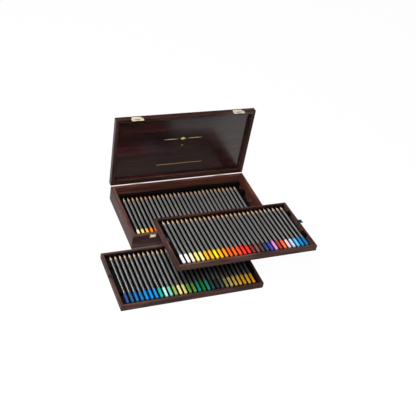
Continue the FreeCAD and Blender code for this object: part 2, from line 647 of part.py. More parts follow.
def build_tray(nodes, tray, row, place, tilt, tabs):
    """A tray with its insert, pencils and tabs, drawn at the origin and set in its place."""
    walls = mitred_frame(TRAY_WIDTH, TRAY_DEPTH, TRAY_WALL, TRAY_HEIGHT,
                         TRAY_REBATE, TRAY_BOTTOM, TRAY_BEVEL)
    pieces = {tray + "_" + side: wall for side, wall in walls.items()}
    pieces[tray + "_bottom"] = frame_panel(TRAY_WIDTH, TRAY_DEPTH, TRAY_WALL, TRAY_REBATE,
                                           TRAY_BOTTOM)
    pieces[tray + "_insert"] = comb_insert(TRAY_INNER_WIDTH, TRAY_INNER_DEPTH, TRAY_BOTTOM,
                                           INSERT_BLOCK, PENCIL_AXIS + STOP_RISE)
    pieces[row + "_pencils"] = pencil_row(TRAY_BOTTOM)
    for side, tab in tabs.items():
        pieces[row + "_ribbon_" + side] = tab
    for name, shape in pieces.items():
        nodes[name] = moved(turned(shape, V(0, 0, 0), X_AXIS, -tilt), place)


def build_trays(nodes):
    """Both trays, taken out: one held over the table, one lying on it."""
    half = TRAY_INNER_WIDTH / 2
    tucked = tab_tucked_in(half, TRAY_BOTTOM, INSERT_BLOCK)
    upper_tab = tab_over_rim(half, TRAY_WALL, TRAY_BOTTOM, TRAY_HEIGHT, UPPER_TAB_REACH)
    lower_tab = tab_over_rim(half, TRAY_WALL, TRAY_BOTTOM, TRAY_HEIGHT, LOWER_TAB_REACH)
    upper_y = FRONT_FACE - UPPER_TRAY_GAP - TRAY_DEPTH / 2
    lower_y = FRONT_FACE - LOWER_TRAY_GAP - TRAY_DEPTH / 2
    build_tray(nodes, "upper_tray", "upper",
               V(UPPER_TRAY_SHIFT, upper_y, CASE_HEIGHT + UPPER_TRAY_RAISE), UPPER_TRAY_TILT,
               {"right": upper_tab, "left": left_hand(tucked)})
    build_tray(nodes, "lower_tray", "lower", V(LOWER_TRAY_SHIFT, lower_y, 0), 0.0,
               {"right": tucked, "left": left_hand(lower_tab)})


def build_all():
    """Every sub-part by name."""
    nodes = {}
    build_case(nodes)
    build_lid(nodes)
    build_levers(nodes)
    build_trays(nodes)
    return nodes


os.makedirs("parts", exist_ok=True)
for node_name, node_shape in build_all().items():
    node_shape.exportStep("parts/" + node_name + ".step")
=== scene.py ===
import math
import bmesh
import bpy
import numpy as np
from mathutils import Matrix, Vector


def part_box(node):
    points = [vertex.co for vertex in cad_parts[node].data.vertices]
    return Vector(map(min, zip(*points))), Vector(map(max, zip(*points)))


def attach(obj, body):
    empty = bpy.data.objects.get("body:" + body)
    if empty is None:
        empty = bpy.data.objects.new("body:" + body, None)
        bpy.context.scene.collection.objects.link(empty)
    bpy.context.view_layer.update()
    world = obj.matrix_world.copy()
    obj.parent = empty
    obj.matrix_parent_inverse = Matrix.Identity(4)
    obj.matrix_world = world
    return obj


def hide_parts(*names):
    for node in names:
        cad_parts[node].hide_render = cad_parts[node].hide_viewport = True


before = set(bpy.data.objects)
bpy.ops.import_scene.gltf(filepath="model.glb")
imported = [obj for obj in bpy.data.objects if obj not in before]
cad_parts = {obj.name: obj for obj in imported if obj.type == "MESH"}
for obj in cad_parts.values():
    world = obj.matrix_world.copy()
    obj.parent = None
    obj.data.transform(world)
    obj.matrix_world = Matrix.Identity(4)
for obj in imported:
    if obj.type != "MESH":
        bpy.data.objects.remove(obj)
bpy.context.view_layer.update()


# --- Camera ----------------------------------------------------------------------------------
# A long lens a little over two metres away, looking down on the open case from its front left.
# The camera is rolled until the trays' long edges lie nearly level in its frame.
camera_data = bpy.data.cameras.new("camera")
camera_data.sensor_width = 36.0
camera_data.lens = 65.35
camera_data.shift_y = 0.0966
camera_data.clip_start = 0.05
camera = bpy.data.objects.new("camera", camera_data)
bpy.context.scene.collection.objects.link(camera)
azimuth, elevation, roll = math.radians(-28.88), math.radians(41.16), math.radians(11.84)
aim, distance = Vector((0.00286, -0.150, 0.00051)), 2.12348
back = Vector((math.sin(azimuth) * math.cos(elevation), -math.cos(azimuth) * math.cos(elevation),
               math.sin(elevation)))
level = Vector((math.cos(azimuth), math.sin(azimuth), 0.0))
rise = back.cross(level)
right = level * math.cos(roll) + rise * math.sin(roll)
up = rise * math.cos(roll) - level * math.sin(roll)
pose = Matrix((right, up, back)).transposed().to_4x4()
pose.translation = aim + back * distance
camera.matrix_world = pose
bpy.context.scene.camera = camera


# --- Floor and light -------------------------------------------------------------------------
# A white studio sweep under two large soft lamps that stand at the left. The floor shows white
# to the camera and a light grey in reflections, and it keeps a faint shadow.
FLOOR_HALF = 6.0            # half of the sweep's width
FLOOR_DROP = 0.0004         # it lies this far under the case's foot
FLOOR_SEEN = 0.93           # share of plain white in what the camera sees
FLOOR_MIRRORED = 0.70       # strength of the sweep in a reflection, where 1 is white


def add(tree, kind, links=None, **settings):
    """Adds a node, sets its properties and sockets by name, and links its sockets."""
    node = tree.nodes.new(kind)
    for name, value in settings.items():
        if hasattr(node, name):
            setattr(node, name, value)
        else:
            node.inputs[name.replace("_", " ")].default_value = value
    for socket, source in (links or {}).items():
        tree.links.new(source, node.inputs[socket])
    return node


def linear(colour):
    """An sRGB hex colour as the linear RGBA that the shaders take."""
    parts = [int(colour[i:i + 2], 16) / 255 for i in (1, 3, 5)]
    curve = [c / 12.92 if c <= 0.04045 else ((c + 0.055) / 1.055) ** 2.4 for c in parts]
    return (*curve, 1.0)


def new_material(name):
    """An empty node material and its tree."""
    material = bpy.data.materials.new(name)
    material.use_nodes = True
    material.node_tree.nodes.clear()
    return material, material.node_tree


sweep, tree = new_material("white_studio_sweep")
matt = add(tree, "ShaderNodeBsdfDiffuse", Color=linear("#A8A8A8"))
rays = add(tree, "ShaderNodeLightPath")
# White to the camera, and a grey card to whatever mirrors it.
glow = add(tree, "ShaderNodeMath", operation="MULTIPLY_ADD",
           links={0: rays.outputs["Is Glossy Ray"], 2: rays.outputs["Is Camera Ray"]})
glow.inputs[1].default_value = FLOOR_MIRRORED
# A little over white, which makes up for the shadow mixed into it.
card = add(tree, "ShaderNodeEmission", Color=(1.05, 1.05, 1.05, 1.0),
           links={"Strength": glow.outputs[0]})
seen = add(tree, "ShaderNodeMath", operation="MULTIPLY_ADD",
           links={0: rays.outputs["Is Camera Ray"], 2: rays.outputs["Is Glossy Ray"]})
seen.inputs[1].default_value = FLOOR_SEEN
# Deep between two walls, where under a third of the sky reaches the floor, it is left in shade.
crevice = add(tree, "ShaderNodeAmbientOcclusion", samples=16, Distance=0.040)
open_floor = add(tree, "ShaderNodeMapRange", links={"Value": crevice.outputs["AO"]},
                 From_Min=0.30, From_Max=0.46)
lit = add(tree, "ShaderNodeMath", operation="MULTIPLY",
          links={0: seen.outputs[0], 1: open_floor.outputs[0]})
blend = add(tree, "ShaderNodeMixShader",
            links={0: lit.outputs[0], 1: matt.outputs[0], 2: card.outputs[0]})
add(tree, "ShaderNodeOutputMaterial", links={"Surface": blend.outputs[0]})

floor_mesh = bpy.data.meshes.new("floor")
floor_mesh.from_pydata([(x * FLOOR_HALF, y * FLOOR_HALF, -FLOOR_DROP)
                        for x, y in ((-1, -1), (1, -1), (1, 1), (-1, 1))], [], [(0, 1, 2, 3)])
floor_mesh.materials.append(sweep)
floor = bpy.data.objects.new("floor", floor_mesh)
bpy.context.scene.collection.objects.link(floor)

world = bpy.data.worlds.new("studio")
bpy.context.scene.world = world
world.use_nodes = True
tree = world.node_tree
tree.nodes.clear()
rays = add(tree, "ShaderNodeLightPath")
seen = add(tree, "ShaderNodeMath", operation="MAXIMUM",
           links={0: rays.outputs["Is Camera Ray"], 1: rays.outputs["Is Transmission Ray"]})
ambient = add(tree, "ShaderNodeBackground", Color=linear("#F4F6FA"), Strength=0.05)
white = add(tree, "ShaderNodeBackground", Color=linear("#FFFFFF"), Strength=1.0)
blend = add(tree, "ShaderNodeMixShader",
            links={0: seen.outputs[0], 1: ambient.outputs[0], 2: white.outputs[0]})
add(tree, "ShaderNodeOutputWorld", links={"Surface": blend.outputs[0]})


def softbox(name, place, target, width, height, power):
    """A rectangular area lamp that faces a point."""
    lamp = bpy.data.lights.new(name, "AREA")
    lamp.shape = "RECTANGLE"
    lamp.size, lamp.size_y, lamp.energy = width, height, power
    stand = bpy.data.objects.new(name, lamp)
    stand.location = place
    facing = Vector(target) - Vector(place)
    stand.rotation_euler = facing.to_track_quat("-Z", "Y").to_euler()
    bpy.context.scene.collection.objects.link(stand)


softbox("overhead_left", (-0.85, -0.05, 1.9), (0, -0.15, 0.0), 1.2, 0.8, 40)
softbox("front_left", (-0.95, -1.45, 1.9), (0, -0.25, 0.05), 1.0, 0.7, 38)


# --- Wooden walls of case, lid and trays -----------------------------------------------------
# Solid mahogany stained nearly black-brown, mitred at the corners and sprayed with a satin
# nitrocellulose lacquer. The grain runs along each wall, and its open pores show as short dark
# streaks. The case's back and right walls are coloured redder: painted light, the red glow of
# light bounced inside the case.
GRAIN_TURN = {"x": (0, 0, 0), "y": (0, 0, math.radians(90)), "z": (0, math.radians(90), 0)}


def stained_wood(name, along, stain, roughness, ior=1.45):
    """Lacquered wood whose grain runs along one axis: slow figure, fine streaks and pores.

    The stain is given as its dark, its middle and its light shade. A thinner lacquer, which
    gleams less, is a lower index of refraction.
    """
    dark, middle, light = stain
    material, tree = new_material(name)
    place = add(tree, "ShaderNodeTexCoord")
    grain = add(tree, "ShaderNodeMapping", links={"Vector": place.outputs["Object"]})
    grain.inputs["Rotation"].default_value = GRAIN_TURN[along]
    # Growth figure: bands about 12 mm across and 150 mm long.
    stretched = add(tree, "ShaderNodeMapping", links={"Vector": grain.outputs[0]})
    stretched.inputs["Scale"].default_value = (7.0, 85.0, 85.0)
    figure = add(tree, "ShaderNodeTexNoise", Scale=1.0, Detail=4.0, Roughness=0.55,
                 Distortion=0.6, links={"Vector": stretched.outputs[0]})
    # Streaks: 0.8 mm across and 15 mm long.
    drawn = add(tree, "ShaderNodeMapping", links={"Vector": grain.outputs[0]})
    drawn.inputs["Scale"].default_value = (65.0, 1200.0, 1200.0)
    streak = add(tree, "ShaderNodeTexNoise", Scale=1.0, Detail=3.0, Roughness=0.6,
                 links={"Vector": drawn.outputs[0]})
    # Pores: 0.25 mm across and 4 mm long.
    pricked = add(tree, "ShaderNodeMapping", links={"Vector": grain.outputs[0]})
    pricked.inputs["Scale"].default_value = (250.0, 3600.0, 3600.0)
    pore = add(tree, "ShaderNodeTexNoise", Scale=1.0, Detail=1.0,
               links={"Vector": pricked.outputs[0]})
    mixed = add(tree, "ShaderNodeMath", operation="MULTIPLY_ADD",
                links={0: streak.outputs[0], 2: figure.outputs[0]})
    mixed.inputs[1].default_value = 0.55
    tint = add(tree, "ShaderNodeValToRGB", links={"Fac": mixed.outputs[0]})
    tint.color_ramp.elements[0].position, tint.color_ramp.elements[0].color = 0.58, linear(dark)
    tint.color_ramp.elements[1].position, tint.color_ramp.elements[1].color = 1.0, linear(light)
    stop = tint.color_ramp.elements.new(0.78)
    stop.color = linear(middle)
    open_pore = add(tree, "ShaderNodeMapRange", links={"Value": pore.outputs[0]},
                    From_Min=0.60, From_Max=0.70, To_Min=1.0, To_Max=0.55)
    colour = add(tree, "ShaderNodeMix", data_type="RGBA", blend_type="MULTIPLY")
    colour.inputs["Factor"].default_value = 1.0
    tree.links.new(tint.outputs[0], colour.inputs[6])
    tree.links.new(open_pore.outputs[0], colour.inputs[7])
    gloss = add(tree, "ShaderNodeMapRange", links={"Value": streak.outputs[0]},
                From_Min=0.3, From_Max=0.7, To_Min=roughness - 0.05, To_Max=roughness + 0.07)
    dent = add(tree, "ShaderNodeBump", Strength=0.25, Distance=0.00006,
               links={"Height": open_pore.outputs[0]})
    shader = add(tree, "ShaderNodeBsdfPrincipled", IOR=ior,
                 links={"Base Color": colour.outputs[2], "Roughness": gloss.outputs[0],
                        "Normal": dent.outputs[0]})
    add(tree, "ShaderNodeOutputMaterial", links={"Surface": shader.outputs[0]})
    return material


def finish_node(name, material):
    """Gives a carried-over CAD node its material."""
    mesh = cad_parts[name].data
    mesh.materials.clear()
    mesh.materials.append(material)


# Darker than the case's stain: painted shade, for the trays' faces that stand darker under the
# lamps.
SHADED_TRAY_STAIN = ("#2A1B17", "#492F2A", "#6D4E45")
CASE_STAIN = ("#301F1B", "#523531", "#79564E")
# Redder than the case's stain: painted light, the red glow bounced inside the case.
RED_STAIN_AND_BOUNCE = ("#321914", "#502A22", "#724536")
# Darker than the case's stain: painted shade, so that the lid's top stays dark under the lamps.
SHADED_LID_STAIN = ("#241413", "#3A2420", "#5B403C")
SATIN, RUBBED, POLISHED = 0.42, 0.36, 0.16     # roughness of the lacquer

tray_x = stained_wood("satin_mahogany_shaded_long", "x", SHADED_TRAY_STAIN, SATIN, ior=1.25)
tray_y = stained_wood("satin_mahogany_shaded_short", "y", SHADED_TRAY_STAIN, SATIN, ior=1.25)
case_x = stained_wood("stained_mahogany_long", "x", CASE_STAIN, SATIN)
case_y = stained_wood("stained_mahogany_short", "y", CASE_STAIN, SATIN, ior=1.28)
inner_x = stained_wood("mahogany_painted_bounce_long", "x", RED_STAIN_AND_BOUNCE, RUBBED)
inner_y = stained_wood("mahogany_painted_bounce_short", "y", RED_STAIN_AND_BOUNCE, RUBBED)
lid_x = stained_wood("polished_mahogany_shaded_long", "x", SHADED_LID_STAIN, POLISHED)
lid_z = stained_wood("polished_mahogany_shaded_upright", "z", SHADED_LID_STAIN, 0.30, ior=1.30)
for box in ("upper_tray", "lower_tray"):
    for wall in ("front", "back", "bottom"):
        finish_node(box + "_" + wall, tray_x)
    for wall in ("left", "right"):
        finish_node(box + "_" + wall, tray_y)
finish_node("case_front", case_x)
finish_node("case_bottom", case_x)
finish_node("case_left", case_y)
finish_node("case_back", inner_x)
finish_node("case_right", inner_y)
for wall in ("front", "back"):
    finish_node("lid_" + wall, lid_x)
for wall in ("left", "right"):
    finish_node("lid_" + wall, lid_z)


# --- Lid panel -------------------------------------------------------------------------------
# A veneered panel let into the lid's rebate. The veneer lies lengthways and is stained with the
# walls. Its inside is polished to a deep gloss, and its outside is only sprayed satin. The inside
# is coloured darker than the walls: painted shade. The outside is coloured lighter: painted
# light, which makes up for the little light behind the lid.
SHADED_INSIDE_STAIN = ("#150B0E", "#2A1515", "#4D261E")
LIT_OUTSIDE_STAIN = ("#2E1B17", "#4C2F29", "#714E43")
veneer = stained_wood("veneer_inside_painted_shade", "x", SHADED_INSIDE_STAIN, 0.20, ior=1.8)
finish_node("lid_panel", veneer)
panel_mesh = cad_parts["lid_panel"].data
panel_mesh.materials.append(stained_wood("satin_veneer_painted_light", "x", LIT_OUTSIDE_STAIN, 0.45,
                                         ior=1.3))
# Faces towards the back take the lighter colour, painted light; the rest take the darker one,
# painted shade.
for face in panel_mesh.polygons:
    face.material_index = int(face.normal.y > 0.5)


# --- Hinges, catches, screws and nails -------------------------------------------------------
# Stamped and rolled steel with a pale brass plating, tumbled bright. The hinges are screwed on,
# and the catches' plates and the keepers are nailed.
LEVER_EDGE, PLATE_EDGE, KEEPER_EDGE = 0.00035, 0.00025, 0.00030     # widths of tumbled edges

# The plating is coloured pale, half as metal and half as paint: painted reflection, so that it
# stays pale where bare metal would mirror a dark room. Tumbling leaves shallow dimples about
# 1.5 mm apart.
pale_brass, tree = new_material("pale_brass_plate")
place = add(tree, "ShaderNodeTexCoord")
dimples = add(tree, "ShaderNodeTexNoise", Scale=650.0, Detail=2.0,
              links={"Vector": place.outputs["Object"]})
gloss = add(tree, "ShaderNodeMapRange", links={"Value": dimples.outputs[0]},
            From_Min=0.3, From_Max=0.7, To_Min=0.34, To_Max=0.48)
dent = add(tree, "ShaderNodeBump", Strength=0.2, Distance=0.00005,
           links={"Height": dimples.outputs[0]})
shader = add(tree, "ShaderNodeBsdfPrincipled", Metallic=0.5, Base_Color=linear("#FBF0D2"),
             links={"Roughness": gloss.outputs[0], "Normal": dent.outputs[0]})
add(tree, "ShaderNodeOutputMaterial", links={"Surface": shader.outputs[0]})

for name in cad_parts:
    if name.startswith(("hinge", "catch", "keeper")) or name.endswith(("screws", "nails")):
        finish_node(name, pale_brass)


def tumbled(node, body, edge):
    """A copy of a stamped node with its corners merged and every sharp edge rounded over."""
    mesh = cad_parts[node].data.copy()
    mesh.name = node + "_tumbled"
    work = bmesh.new()
    work.from_mesh(mesh)
    bmesh.ops.remove_doubles(work, verts=work.verts, dist=0.000005)
    bmesh.ops.dissolve_limit(work, angle_limit=math.radians(2), verts=work.verts,
                             edges=work.edges)
    work.to_mesh(mesh)
    work.free()
    copy = bpy.data.objects.new(mesh.name, mesh)
    bpy.context.scene.collection.objects.link(copy)
    rounding = copy.modifiers.new("tumbled_edges", "BEVEL")
    rounding.width, rounding.segments = edge, 3
    rounding.limit_method, rounding.angle_limit = "ANGLE", math.radians(35)
    rounding.harden_normals = True
    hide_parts(node)
    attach(copy, body)


for side in ("left", "right"):
    tumbled("catch_" + side + "_lever", "catch_" + side, LEVER_EDGE)
    tumbled("catch_" + side + "_plate", "lid", PLATE_EDGE)
    tumbled("keeper_" + side, "case", KEEPER_EDGE)


# --- Comb inserts ----------------------------------------------------------------------------
# One piece of matt black polystyrene for each row, moulded with a floor, two combs that have a
# groove for every pencil, tall blocks at the combs' ends and rails against the pencils' ends.
# It is glued to the panel under it, and the ribbon tabs come up beside it.
PENCIL_COUNT = 28
PENCIL_PITCH = 0.0131
PENCIL_AXIS = 0.0100        # over the panel under the insert
INSERT_FLOOR = 0.0020       # thickness of the insert between its combs
GROOVE_RADIUS = 0.00425     # just clears a pencil's corners
GROOVE_LIP = 0.0007         # width of a groove's rounded edge
CREST_RISE = 0.0015         # of the teeth over the pencils' axes
BLOCK_START = 0.0090        # from the last pencil's axis to the foot of an end block
COMBS = ((-0.0520, -0.0300), (0.0450, 0.0630))      # front and back of each comb
RAIL_START = 0.0885         # from the middle to a stop rail
CASE_RAIL, TRAY_RAIL = 0.0170, 0.0110               # height of the stop rails
BLOCK_DRAFT = 0.0015        # the blocks' moulded ends lean back this far
DRAFT = 0.0014              # and the long walls this far


def node_points(name):
    """A CAD node's vertices as an array with three columns."""
    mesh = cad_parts[name].data
    points = np.empty(len(mesh.vertices) * 3, np.float32)
    mesh.vertices.foreach_get("co", points)
    return points.reshape(-1, 3).astype(float)


def seat_of(panel):
    """The middle of a box's underside and its turn about X, read from its flat bottom panel.

    The panel slopes as the line from the middle of its front face to the middle of its back one.
    """
    points = node_points(panel)
    front = points[points[:, 1] < points[:, 1].min() + 0.001]
    back = points[points[:, 1] > points[:, 1].max() - 0.001]
    front, back = ((side.min(axis=0) + side.max(axis=0)) / 2 for side in (front, back))
    slope = math.atan2(back[2] - front[2], back[1] - front[1])
    turn = np.array(Matrix.Rotation(slope, 3, "X"))
    middle = (front + back) / 2
    half = ((points - middle) @ turn)[:, 2].max()
    return middle - turn @ np.array((0, 0, half)), turn


def limits(node, seat):
    """The lowest and the highest corner of a CAD node, measured in a box's own frame."""
    origin, turn = seat
    points = (node_points(node) - origin) @ turn
    return points.min(axis=0), points.max(axis=0)


def grid_faces(rows, columns, round_columns=False):
    """The quads of a grid of points, row after row; a round grid also joins its last column."""
    corner = np.arange(rows * columns).reshape(rows, columns)
    if round_columns:
        corner = np.concatenate([corner, corner[:, :1]], axis=1)
    return np.stack([corner[:-1, :-1], corner[:-1, 1:], corner[1:, 1:], corner[1:, :-1]],
                    axis=-1).reshape(-1, 4)


def piece(name, points, faces, materials, seat=None):
    """A mesh object, smooth but for its sharp edges; its points may be in the frame of a seat."""
    if seat is not None:
        points = points @ seat[1].T + seat[0]
    mesh = bpy.data.meshes.new(name)
    mesh.from_pydata(points.tolist(), [], [list(face) for face in faces])
    mesh.polygons.foreach_set("use_smooth", np.ones(len(mesh.polygons), bool))
    mesh.set_sharp_from_angle(angle=math.radians(40))
    for material in materials:
        mesh.materials.append(material)
    thing = bpy.data.objects.new(name, mesh)
    bpy.context.scene.collection.objects.link(thing)
    return thing


def step(value, start, width):
    """Rises smoothly from 0 at start to 1 over the width, flat at both ends."""
    part = np.clip((value - start) / width, 0, 1)
    return part * part * (3 - 2 * part)


def moulded_sheet(xs, ys, heights, bottom):
    """A height field over a rectangle, closed by upright sides and a flat bottom."""
    columns, rows = len(xs), len(ys)
    across, along = np.meshgrid(xs, ys)
    top = np.stack([across, along, heights], axis=-1).reshape(-1, 3)
    corner = np.arange(rows * columns).reshape(rows, columns)
    rim = np.concatenate([corner[0, :], corner[1:, -1], corner[-1, -2::-1], corner[-2:0:-1, 0]])
    skirt = top[rim].copy()
    skirt[:, 2] = bottom
    low = np.arange(len(rim)) + len(top)
    sides = np.stack([rim, low, np.roll(low, -1), np.roll(rim, -1)], axis=-1)
    faces = grid_faces(rows, columns).tolist() + sides.tolist() + [low[::-1].tolist()]
    return np.concatenate([top, skirt]), faces


def comb_insert(name, node, seat, rail_height):
    """The moulded insert: its height is the floor's, or a comb's, block's or rail's above it.

    Across a groove the comb's height is the pencil's axis less a circle's half chord, then it
    steps up to the crest. Along Y each comb and rail rises from the floor by a smooth step.
    """
    low, high = limits(node, seat)
    row_half = (PENCIL_COUNT - 1) / 2 * PENCIL_PITCH
    axes = np.linspace(-row_half, row_half, PENCIL_COUNT)
    # Columns of the grid: across half a groove and its rounded edge, and up each block's end.
    half = np.array([0, 0.0016, 0.0030, 0.0039, GROOVE_RADIUS, 0.00445, 0.0047, 0.00495])
    offsets = np.concatenate([-half[:0:-1], half, [PENCIL_PITCH / 2]])
    ends = row_half + BLOCK_START + np.array([0, 0.0004, 0.0009, BLOCK_DRAFT])
    xs = np.unique(np.concatenate([(axes[:, None] + offsets).ravel(), -ends, ends,
                                   [low[0], high[0]]]).round(7))
    walls = [edge for pair in COMBS for edge in (pair[0], pair[1] - DRAFT)]
    walls += [RAIL_START, -RAIL_START - DRAFT]
    rise = DRAFT * np.linspace(0, 1, 5)
    ys = np.unique(np.concatenate([(np.array(walls)[:, None] + rise).ravel(),
                                   [low[1], high[1]]]).round(7))
    off_axis = np.abs(xs[:, None] - axes).min(axis=1)
    chord = np.sqrt(np.clip(GROOVE_RADIUS ** 2 - off_axis ** 2, 0, None))
    tooth = PENCIL_AXIS - chord + CREST_RISE * step(off_axis, GROOVE_RADIUS, GROOVE_LIP)
    block = step(np.abs(xs), row_half + BLOCK_START, BLOCK_DRAFT)
    crest = tooth + (high[2] - low[2] - tooth) * block
    comb = sum(step(ys, a, DRAFT) * step(-ys, -b, DRAFT) for a, b in COMBS)
    rail = step(np.abs(ys), RAIL_START, DRAFT)
    heights = (INSERT_FLOOR + (crest[None, :] - INSERT_FLOOR) * comb[:, None]
               + (rail_height - INSERT_FLOOR) * rail[:, None])
    points, faces = moulded_sheet(xs, ys, low[2] + heights, low[2])
    insert = piece(name, points, faces, [polystyrene], seat)
    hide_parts(node)
    return insert


# Moulded polystyrene has a fine stipple from its tool, 0.4 mm across, that keeps it nearly
# without shine.
polystyrene, tree = new_material("matt_black_polystyrene")
place = add(tree, "ShaderNodeTexCoord")
stipple = add(tree, "ShaderNodeTexNoise", Scale=2500.0, Detail=2.0,
              links={"Vector": place.outputs["Object"]})
dent = add(tree, "ShaderNodeBump", Strength=0.3, Distance=0.00005,
           links={"Height": stipple.outputs[0]})
shader = add(tree, "ShaderNodeBsdfPrincipled", Base_Color=linear("#030303"), Roughness=0.7,
             Specular_IOR_Level=0.10, links={"Normal": dent.outputs[0]})
add(tree, "ShaderNodeOutputMaterial", links={"Surface": shader.outputs[0]})

case_seat = seat_of("case_bottom")
upper_seat = seat_of("upper_tray_bottom")
lower_seat = seat_of("lower_tray_bottom")
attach(comb_insert("case_comb_insert", "case_insert", case_seat, CASE_RAIL), "case")
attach(comb_insert("upper_comb_insert", "upper_tray_insert", upper_seat, TRAY_RAIL),
        "upper_tray")
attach(comb_insert("lower_comb_insert", "lower_tray_insert", lower_seat, TRAY_RAIL),
        "lower_tray")


# --- Pencils ---------------------------------------------------------------------------------
# Hexagonal cedar pencils lacquered black, with the blunt end dipped in lacquer of the lead's
# colour behind a thin bronze ring, and the other end turned to a cone. The cone cuts the
# hexagon in scallops, and the lead stands out of the wood.
SLID_BACK = 0.0008          # of the play between the stop rails
DIP_LENGTH = 0.0315
RING_WIDTH = 0.0007
CONE_LENGTH = 0.0180
LEAD_RADIUS = 0.0011
TIP_RADIUS = 0.0003
CORNER_RADIUS = 0.0022      # of the hexagon's edges under the lacquer
CORNER_TURNS = np.radians((0, 0, 15, 30, 45, 60, 60))   # from one side's normal to the next's
SIDE_RUN = np.array((-0.0003, 0, 0, 0, 0, 0, 0.0003))   # the sides are flat beyond the arcs
BLUNT_END = ((0, 0.60), (0.0002, 0.80), (0.0007, 0.94), (0.0015, 1.0))   # place, share of width

PIGMENTS = {
    "white": "#EBE8E6", "cream": "#E8DDB7", "straw": "#E6D372", "butter": "#E5D786",
    "yellow": "#F4DC00", "golden": "#F0AC1B", "honey": "#E5BB4F", "amber": "#F4A113",
    "orange": "#EC8D13", "vermilion": "#E65F1B", "scarlet": "#E64C26", "crimson": "#E02D1F",
    "oxblood": "#72302D", "umber": "#724F40", "aubergine": "#54373D", "navy": "#32426B",
    "violet": "#42409D", "mallow": "#D086C8", "venetian": "#A2382D", "coral": "#E86440",
    "blush": "#E1BFC1", "lavender": "#BBC6E6", "sky": "#58B0DD", "azure": "#0781C8",
    "cobalt": "#1C68A2", "slate_blue": "#28557A", "indigo": "#2F4587", "teal": "#1AA292",
    "aqua": "#A1DCD2", "mint": "#73C3A6", "olive": "#89A154", "leaf": "#76AD4C",
    "emerald": "#109A46", "bottle": "#385254", "slate": "#333F44", "grey": "#585858",
    "ochre": "#A19858", "sand": "#D2BC89",
}
UPPER_ROW = """white white cream straw butter golden golden yellow golden orange vermilion
    vermilion scarlet crimson crimson oxblood umber aubergine navy violet mallow venetian coral
    blush lavender sky azure cobalt""".split()
LOWER_ROW = """indigo slate_blue cobalt cobalt azure azure azure teal aqua mint olive butter
    butter leaf leaf teal emerald teal bottle slate grey ochre sand honey honey golden honey
    amber""".split()
BASE_ROW = """cream straw golden orange vermilion scarlet crimson venetian oxblood coral blush
    mallow lavender sky azure cobalt indigo navy slate_blue aqua teal emerald leaf olive ochre
    umber grey slate""".split()


def pencil_row(name, node, seat, colours):
    """A row of pencils, each a stack of rings round its axis.

    A ring follows a hexagon with rounded corners: each corner is an arc about a centre that
    lies the corner's radius in from both sides. The edge of the lacquer lies where the hexagon
    and the cone are equally far from the axis.
    """
    low, high = limits(node, seat)
    flat = (high[2] - low[2]) / 2
    corner = flat / math.cos(math.pi / 6)
    length = high[1] - low[1]
    normals = np.radians(90 + 60 * np.arange(6))[:, None]
    centre = (flat - CORNER_RADIUS) / math.cos(math.pi / 6) * np.exp(1j * (normals + math.pi / 6))
    outward = np.exp(1j * (normals + CORNER_TURNS))
    outline = (centre + (CORNER_RADIUS + 1j * SIDE_RUN) * outward).ravel()
    turns, hexagon = np.angle(outline), np.abs(outline)
    scallop = length - CONE_LENGTH * hexagon / corner
    full = np.ones_like(hexagon)
    lead_end = length - CONE_LENGTH * LEAD_RADIUS / corner
    # Each ring: its place along the pencil, its radius, and the finish of the band before it.
    rings = [(place * full, share * hexagon, 0) for place, share in BLUNT_END]
    rings += [(DIP_LENGTH * full, hexagon, 0), ((DIP_LENGTH + RING_WIDTH) * full, hexagon, 1),
              (scallop, hexagon, 2), (lead_end * full, LEAD_RADIUS * full, 3),
              (length * full, TIP_RADIUS * full, 4)]
    along = np.array([ring[0] for ring in rings])
    radius = np.array([ring[1] for ring in rings])
    one = np.stack([radius * np.cos(turns), along, radius * np.sin(turns)], axis=-1)
    one = one.reshape(-1, 3) + (0, low[1] + SLID_BACK, (low[2] + high[2]) / 2)
    axes = np.linspace(low[0] + corner, high[0] - corner, len(colours))
    points = one + np.stack([axes, 0 * axes, 0 * axes], axis=-1)[:, None, :]

    count, sides = len(one), len(turns)
    bands = grid_faces(len(rings), sides, round_columns=True)
    shift = (np.arange(len(colours)) * count)[:, None, None]
    walls = (bands + shift).reshape(-1, 4).tolist()
    blunt = (np.arange(sides) + shift[:, 0]).tolist()
    tips = (np.arange(count - 1, count - sides - 1, -1) + shift[:, 0]).tolist()
    materials = [dip_lacquer, bronze_ring, black_lacquer, cedar, coloured_lead]
    row = piece(name, points.reshape(-1, 3), walls + blunt + tips, materials, seat)
    finish = np.repeat([ring[2] for ring in rings[1:]], sides)
    finish = np.concatenate([np.tile(finish, len(colours)), np.zeros(len(colours), int),
                             np.full(len(colours), 4)])
    row.data.polygons.foreach_set("material_index", finish.astype(np.int32))
    tint = row.data.attributes.new("pigment", "FLOAT_COLOR", "POINT")
    shades = np.array([linear(PIGMENTS[colour]) for colour in colours])
    tint.data.foreach_set("color", np.repeat(shades, count, axis=0).astype(np.float32).ravel())
    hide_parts(node)
    return row


def pigment_coat(name, roughness, gleam):
    """A lacquer or lead in the pencil's own pigment, read from the row's attribute.

    A gleam over 0 draws its highlight out along the pencil.
    """
    material, tree = new_material(name)
    pigment = add(tree, "ShaderNodeAttribute", attribute_name="pigment")
    place = add(tree, "ShaderNodeTexCoord")
    # The dipped skin is slightly wavy, about 2 mm from crest to crest.
    waves = add(tree, "ShaderNodeTexNoise", Scale=500.0, Detail=1.0,
                links={"Vector": place.outputs["Object"]})
    dent = add(tree, "ShaderNodeBump", Strength=0.15, Distance=0.00004,
               links={"Height": waves.outputs[0]})
    lengthways = add(tree, "ShaderNodeCombineXYZ", Y=1.0)
    shader = add(tree, "ShaderNodeBsdfPrincipled", Roughness=roughness, Anisotropic=gleam,
                 Specular_IOR_Level=0.25,
                 links={"Base Color": pigment.outputs["Color"], "Normal": dent.outputs[0],
                        "Tangent": lengthways.outputs[0]})
    add(tree, "ShaderNodeOutputMaterial", links={"Surface": shader.outputs[0]})
    return material


dip_lacquer = pigment_coat("dipped_pigment_lacquer", roughness=0.55, gleam=0.8)
coloured_lead = pigment_coat("coloured_pencil_lead", roughness=0.6, gleam=0.0)

